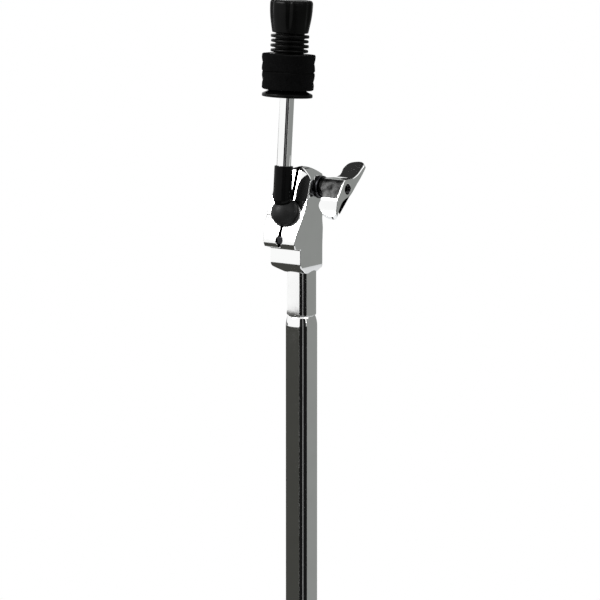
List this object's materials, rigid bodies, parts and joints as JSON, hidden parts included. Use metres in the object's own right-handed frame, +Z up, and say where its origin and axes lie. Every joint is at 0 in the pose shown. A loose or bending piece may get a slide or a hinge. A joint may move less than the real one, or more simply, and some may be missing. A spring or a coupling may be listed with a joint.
{
  "type": "cymbal stand",
  "caption": "Straight telescoping cymbal stand with a folding tripod, a ball tilter with a wing nut, felts and a moulded cymbal nut.",
  "frame": {"origin": "middle of the bounding box on the floor, with the stand open; the tubes' axis is 82 mm behind it", "axes": "+Z up along the tubes, -Y to the front, where the ball and rod are, +X to the tilter's wing nut"},
  "size_m": [0.5906, 0.5144, 1.1588],
  "materials": {
    "chrome": "bright chrome plate",
    "steel": "zinc plated steel",
    "black_nylon": "satin black nylon",
    "ball_nylon": "dark grey nylon, lightly textured",
    "black_plastic": "moulded black plastic",
    "felt": "black wool felt",
    "brass": "plain brass",
    "rubber": "matt black rubber"
  },
  "bodies": {
    "base_section": {"base_tube": "chrome", "base_plug": "black_plastic", "brace_hub": "chrome", "base_clamp": "chrome", "base_bush": "black_nylon", "base_clamp_nut": "steel", "brace_1_hub_pin": "steel", "brace_2_hub_pin": "steel", "brace_3_hub_pin": "steel"},
    "base_wing": {"base_wing_bolt": "chrome"},
    "collar": {"leg_collar": "chrome", "collar_liner": "black_nylon", "leg_1_pivot_pin": "steel", "leg_2_pivot_pin": "steel", "leg_3_pivot_pin": "steel"},
    "collar_wing": {"collar_wing_bolt": "chrome"},
    "middle_section": {"middle_tube": "chrome", "middle_clamp": "chrome", "middle_bush": "black_nylon", "middle_clamp_nut": "steel"},
    "middle_wing": {"middle_wing_bolt": "chrome"},
    "base_stop": {"base_lock": "chrome", "base_lock_screw": "steel"},
    "top_section": {"top_tube": "chrome", "tilter_body": "chrome", "jaw_pin": "steel", "clamp_screw": "steel", "clamp_washer": "steel"},
    "middle_stop": {"middle_lock": "chrome", "middle_lock_screw": "steel"},
    "jaw": {"tilter_jaw": "chrome", "clamp_nut": "steel"},
    "tilter_wing": {"wing_nut": "chrome"},
    "rod": {"tilter_ball": "ball_nylon", "rod_holder": "black_nylon", "cymbal_rod": "chrome", "seat_washer": "black_plastic", "seat_sleeve": "black_nylon", "lower_felt": "felt", "upper_felt": "felt"},
    "nut": {"cymbal_nut": "black_plastic", "nut_insert": "brass"},
    "leg_1": {"leg_1_left_strap": "chrome", "leg_1_right_strap": "chrome", "leg_1_spacer": "steel", "leg_1_foot": "rubber"},
    "brace_arm_1": {"brace_1": "chrome", "brace_1_leg_pin": "steel"},
    "leg_2": {"leg_2_left_strap": "chrome", "leg_2_right_strap": "chrome", "leg_2_spacer": "steel", "leg_2_foot": "rubber"},
    "brace_arm_2": {"brace_2": "chrome", "brace_2_leg_pin": "steel"},
    "leg_3": {"leg_3_left_strap": "chrome", "leg_3_right_strap": "chrome", "leg_3_spacer": "steel", "leg_3_foot": "rubber"},
    "brace_arm_3": {"brace_3": "chrome", "brace_3_leg_pin": "steel"}
  },
  "joints": [
    {"name": "collar_slide", "type": "slide", "parent": "base_section", "child": "collar", "axis": [0, 0, 1], "range_m": [0, 0.1425]},
    {"name": "leg_1_fold", "type": "hinge", "parent": "collar", "child": "leg_1", "pos_m": [0, 0.05513, 0.26186], "axis": [1, 0, 0], "range_deg": [0, 47]},
    {"name": "leg_2_fold", "type": "hinge", "parent": "collar", "child": "leg_2", "pos_m": [0.02338, 0.09563, 0.26186], "axis": [-0.5, 0.866, 0], "range_deg": [0, 47]},
    {"name": "leg_3_fold", "type": "hinge", "parent": "collar", "child": "leg_3", "pos_m": [-0.02338, 0.09563, 0.26186], "axis": [-0.5, -0.866, 0], "range_deg": [0, 47]},
    {"name": "brace_1_swing", "type": "hinge", "parent": "base_section", "child": "brace_arm_1", "pos_m": [0, 0.05513, 0.065], "axis": [-1, 0, 0], "range_deg": [0, 56.2]},
    {"name": "brace_2_swing", "type": "hinge", "parent": "base_section", "child": "brace_arm_2", "pos_m": [0.02338, 0.09563, 0.065], "axis": [0.5, -0.866, 0], "range_deg": [0, 56.2]},
    {"name": "brace_3_swing", "type": "hinge", "parent": "base_section", "child": "brace_arm_3", "pos_m": [-0.02338, 0.09563, 0.065], "axis": [0.5, 0.866, 0], "range_deg": [0, 56.2]},
    {"name": "collar_wing_turn", "type": "hinge", "parent": "collar", "child": "collar_wing", "pos_m": [0, 0.10953, 0.26186], "axis": [0, 1, 0], "continuous": true},
    {"name": "middle_tube_slide", "type": "slide", "parent": "base_section", "child": "middle_section", "axis": [0, 0, 1], "range_m": [0, 0.36]},
    {"name": "base_wing_turn", "type": "hinge", "parent": "base_section", "child": "base_wing", "pos_m": [0, 0.10913, 0.554], "axis": [1, 0, 0], "continuous": true},
    {"name": "base_lock_slide", "type": "slide", "parent": "middle_section", "child": "base_stop", "axis": [0, 0, 1], "range_m": [0, 0.1]},
    {"name": "top_tube_slide", "type": "slide", "parent": "middle_section", "child": "top_section", "axis": [0, 0, 1], "range_m": [0, 0.36]},
    {"name": "middle_wing_turn", "type": "hinge", "parent": "middle_section", "child": "middle_wing", "pos_m": [0, 0.10683, 0.744], "axis": [1, 0, 0], "continuous": true},
    {"name": "middle_lock_slide", "type": "slide", "parent": "top_section", "child": "middle_stop", "axis": [0, 0, 1], "range_m": [0, 0.1]},
    {"name": "wing_nut_turn", "type": "hinge", "parent": "top_section", "child": "tilter_wing", "pos_m": [0, 0.08213, 1.0417], "axis": [1, 0, 0], "range_deg": [0, 360]},
    {"name": "jaw_open", "type": "hinge", "parent": "top_section", "child": "jaw", "pos_m": [0, 0.08213, 1.0103], "axis": [0, -1, 0], "range_deg": [0, 1.8]},
    {"name": "rod_tilt", "type": "hinge", "parent": "top_section", "child": "rod", "pos_m": [0, 0.06473, 1.0267], "axis": [1, 0, 0], "range_deg": [-15, 70]},
    {"name": "cymbal_nut_turn", "type": "hinge", "parent": "rod", "child": "nut", "pos_m": [0, 0.06125, 1.02699], "axis": [0, 0.0837, 0.9965], "continuous": true}
  ],
  "couplings": [
    {"joint": "leg_1_fold", "follows": "collar_slide", "rad_per_m": 5.75},
    {"joint": "leg_2_fold", "follows": "collar_slide", "rad_per_m": 5.75},
    {"joint": "leg_3_fold", "follows": "collar_slide", "rad_per_m": 5.75},
    {"joint": "brace_1_swing", "follows": "collar_slide", "rad_per_m": 6.87},
    {"joint": "brace_2_swing", "follows": "collar_slide", "rad_per_m": 6.87},
    {"joint": "brace_3_swing", "follows": "collar_slide", "rad_per_m": 6.87},
    {"joint": "jaw_open", "follows": "wing_nut_turn", "ratio": 0.00497}
  ]
}
